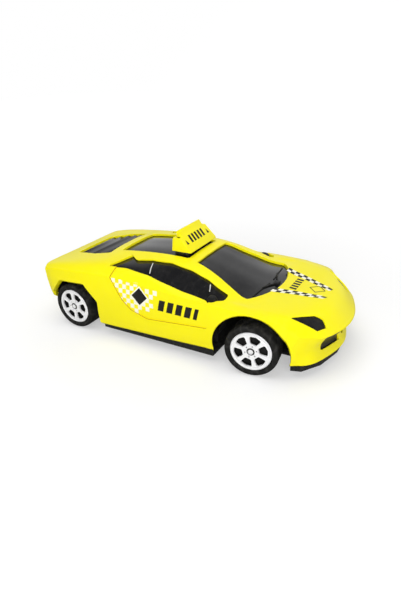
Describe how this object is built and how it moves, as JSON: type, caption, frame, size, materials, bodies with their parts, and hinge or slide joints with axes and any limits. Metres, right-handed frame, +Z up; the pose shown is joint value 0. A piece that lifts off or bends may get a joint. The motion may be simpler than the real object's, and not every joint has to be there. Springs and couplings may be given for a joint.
{
  "type": "toy taxi",
  "caption": "Toy taxi coupe with a wedge body, dark glazing, roof sign, steering front wheels and a battery driven geared rear axle.",
  "frame": {"origin": "middle of the bounding box, on the ground under the tyres", "axes": "+X to the nose of the car, +Y to the car's own left, +Z up"},
  "size_m": [0.2046, 0.0956, 0.0686],
  "materials": {
    "yellow": "gloss",
    "glazing": "gloss",
    "black_trim": "satin",
    "lamp_red": "gloss",
    "tyre": "matte",
    "rim_silver": "satin metallic",
    "steel": "bright",
    "motor_can": "satin",
    "cell_case": "satin",
    "brass": "bright",
    "ivory_plastic": "satin",
    "grey_plastic": "satin",
    "board_green": "satin"
  },
  "bodies": {
    "car": {"body_shell": "yellow", "window_canopy": "glazing", "engine_cover": "black_trim", "headlamp_right": "glazing", "headlamp_left": "glazing", "front_grille_right": "black_trim", "front_grille_left": "black_trim", "tail_lamp_right": "lamp_red", "tail_lamp_left": "lamp_red", "roof_sign": "yellow", "chassis": "black_trim", "battery_door": "black_trim", "battery_cells": "cell_case", "battery_contacts": "steel", "receiver_board": "board_green", "board_chips": "black_trim", "switch_case": "grey_plastic", "steering_servo": "black_trim", "steering_bridge": "black_trim", "gear_shaft": "steel", "drive_motor": "motor_can", "gearbox_case": "grey_plastic", "gearbox_lid": "grey_plastic", "gearbox_screws": "steel", "body_screws": "steel", "bridge_screws": "steel", "door_screw": "steel"},
    "switch_knob": {"switch_slider": "black_trim"},
    "steering_lever": {"steering_lever": "ivory_plastic"},
    "tie_rod": {"tie_rod": "ivory_plastic"},
    "knuckle_right": {"knuckle_right": "black_trim", "stub_axle_right": "steel"},
    "knuckle_left": {"knuckle_left": "black_trim", "stub_axle_left": "steel"},
    "front_wheel_right": {"tyre_front_right": "tyre", "wheel_front_right": "black_trim", "rim_front_right": "rim_silver"},
    "front_wheel_left": {"tyre_front_left": "tyre", "wheel_front_left": "black_trim", "rim_front_left": "rim_silver"},
    "rear_wheels": {"rear_axle": "steel", "axle_gear": "ivory_plastic", "tyre_rear_right": "tyre", "tyre_rear_left": "tyre", "wheel_rear_right": "black_trim", "wheel_rear_left": "black_trim", "rim_rear_right": "rim_silver", "rim_rear_left": "rim_silver"},
    "compound_gear": {"compound_gear": "ivory_plastic"},
    "motor_rotor": {"motor_pinion": "brass", "motor_shaft": "steel"}
  },
  "joints": [
    {"name": "steer_right", "type": "hinge", "parent": "car", "child": "knuckle_right", "pos_m": [0.05573, -0.02651, 0.016], "axis": [0, 0, 1], "range_deg": [-24, 8]},
    {"name": "steer_left", "type": "hinge", "parent": "car", "child": "knuckle_left", "pos_m": [0.05573, 0.02651, 0.016], "axis": [0, 0, 1], "range_deg": [-24, 8]},
    {"name": "steer_lever", "type": "hinge", "parent": "car", "child": "steering_lever", "pos_m": [0.07573, 0, 0.021], "axis": [0, 0, 1], "range_deg": [-8, 24]},
    {"name": "rod_slide", "type": "slide", "parent": "car", "child": "tie_rod", "axis": [0, 1, 0], "range_m": [-0.00425, 0.00145]},
    {"name": "front_right_spin", "type": "hinge", "parent": "knuckle_right", "child": "front_wheel_right", "pos_m": [0.05747, -0.03889, 0.016], "axis": [-0.1392, 0.9903, 0], "continuous": true},
    {"name": "front_left_spin", "type": "hinge", "parent": "knuckle_left", "child": "front_wheel_left", "pos_m": [0.05399, 0.03889, 0.016], "axis": [-0.1392, 0.9903, 0], "continuous": true},
    {"name": "rear_spin", "type": "hinge", "parent": "car", "child": "rear_wheels", "pos_m": [-0.07423, 0, 0.016], "axis": [0, 1, 0], "continuous": true},
    {"name": "compound_spin", "type": "hinge", "parent": "car", "child": "compound_gear", "pos_m": [-0.06463, 0.0125, 0.016], "axis": [0, 1, 0], "continuous": true},
    {"name": "rotor_spin", "type": "hinge", "parent": "car", "child": "motor_rotor", "pos_m": [-0.05543, 0.009, 0.016], "axis": [0, 1, 0], "continuous": true},
    {"name": "switch_slide", "type": "slide", "parent": "car", "child": "switch_knob", "axis": [1, 0, 0], "range_m": [0, 0.0024]}
  ],
  "couplings": [
    {"joint": "steer_left", "follows": "steer_right", "ratio": 1},
    {"joint": "steer_lever", "follows": "steer_right", "ratio": -1},
    {"joint": "rod_slide", "follows": "steer_right", "m_per_rad": 0.00987},
    {"joint": "compound_spin", "follows": "rear_spin", "ratio": -3},
    {"joint": "rotor_spin", "follows": "rear_spin", "ratio": 10.8}
  ]
}
